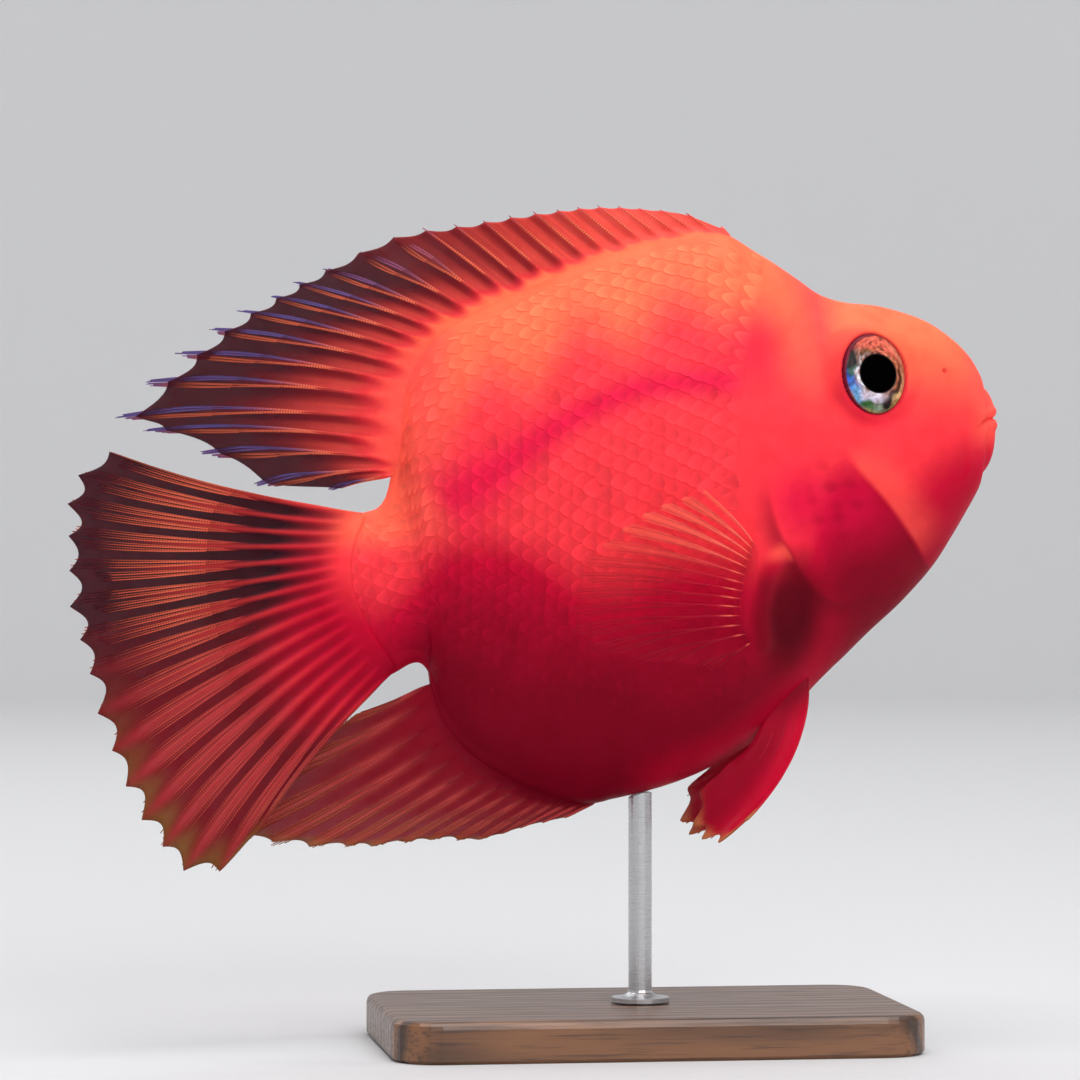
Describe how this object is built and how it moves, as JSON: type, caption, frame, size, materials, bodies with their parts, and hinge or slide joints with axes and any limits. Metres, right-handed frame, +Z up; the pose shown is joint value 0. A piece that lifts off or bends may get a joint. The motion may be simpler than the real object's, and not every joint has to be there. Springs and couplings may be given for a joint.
{
  "type": "fish model",
  "caption": "Life-size model of a deep-bodied red cichlid with spread fins, swimming with its tail swung to one side, held over a flat base by a short rod.",
  "frame": {"origin": "middle of the stand's underside, straight below the rod", "axes": "+X towards the fish's head, +Z up, -Y the fish's right flank"},
  "size_m": [0.2061, 0.072, 0.1845],
  "materials": {
    "skin": "wet scales, orange on the back, red on the flank and dark crimson on the belly",
    "gill_cover": "wet skin, magenta red",
    "iris": "glossy, orange above and silver with blue and green below",
    "pupil": "glossy black",
    "dorsal_fin": "red at the root, clearer with violet ray tips outside",
    "lower_fins": "translucent red brown with paler ray tips",
    "pectoral_fins": "nearly clear, pale red rays",
    "stand_wood": "dark walnut, satin",
    "stand_steel": "brushed"
  },
  "bodies": {
    "root": {"head": "skin", "lower_jaw": "skin", "torso": "skin", "tail_stalk": "skin", "gill_cover_right": "gill_cover", "gill_cover_left": "gill_cover", "eye_right": "iris", "eye_left": "iris", "pupil_right": "pupil", "pupil_left": "pupil", "dorsal_fin": "dorsal_fin", "anal_fin": "lower_fins", "tail_fin": "lower_fins", "pelvic_fin_right": "lower_fins", "pelvic_fin_left": "lower_fins", "pectoral_fin_right": "pectoral_fins", "pectoral_fin_left": "pectoral_fins", "stand_base": "stand_wood", "stand_rod": "stand_steel"}
  },
  "joints": []
}
